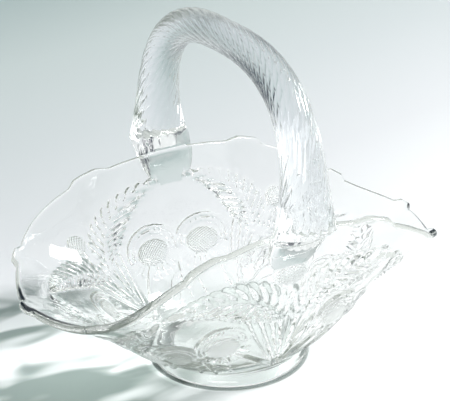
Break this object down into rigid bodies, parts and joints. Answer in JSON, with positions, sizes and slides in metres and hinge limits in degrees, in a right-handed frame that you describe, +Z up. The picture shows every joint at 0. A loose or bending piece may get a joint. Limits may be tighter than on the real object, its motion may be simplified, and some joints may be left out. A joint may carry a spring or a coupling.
{
  "type": "glass basket",
  "caption": "Clear pressed-glass serving basket: footed boat-shaped bowl with a scalloped rim under a fixed, twisted and ribbed arched handle.",
  "frame": {"origin": "middle of the foot ring, on the surface that the basket stands on", "axes": "+X along the length of the bowl, +Y across it through the feet of the handle, +Z up"},
  "size_m": [0.2686, 0.1944, 0.2132],
  "materials": {
    "clear_glass": "clear fire-polished pressed glass"
  },
  "bodies": {
    "root": {"glass_basket": "clear_glass"}
  },
  "joints": []
}
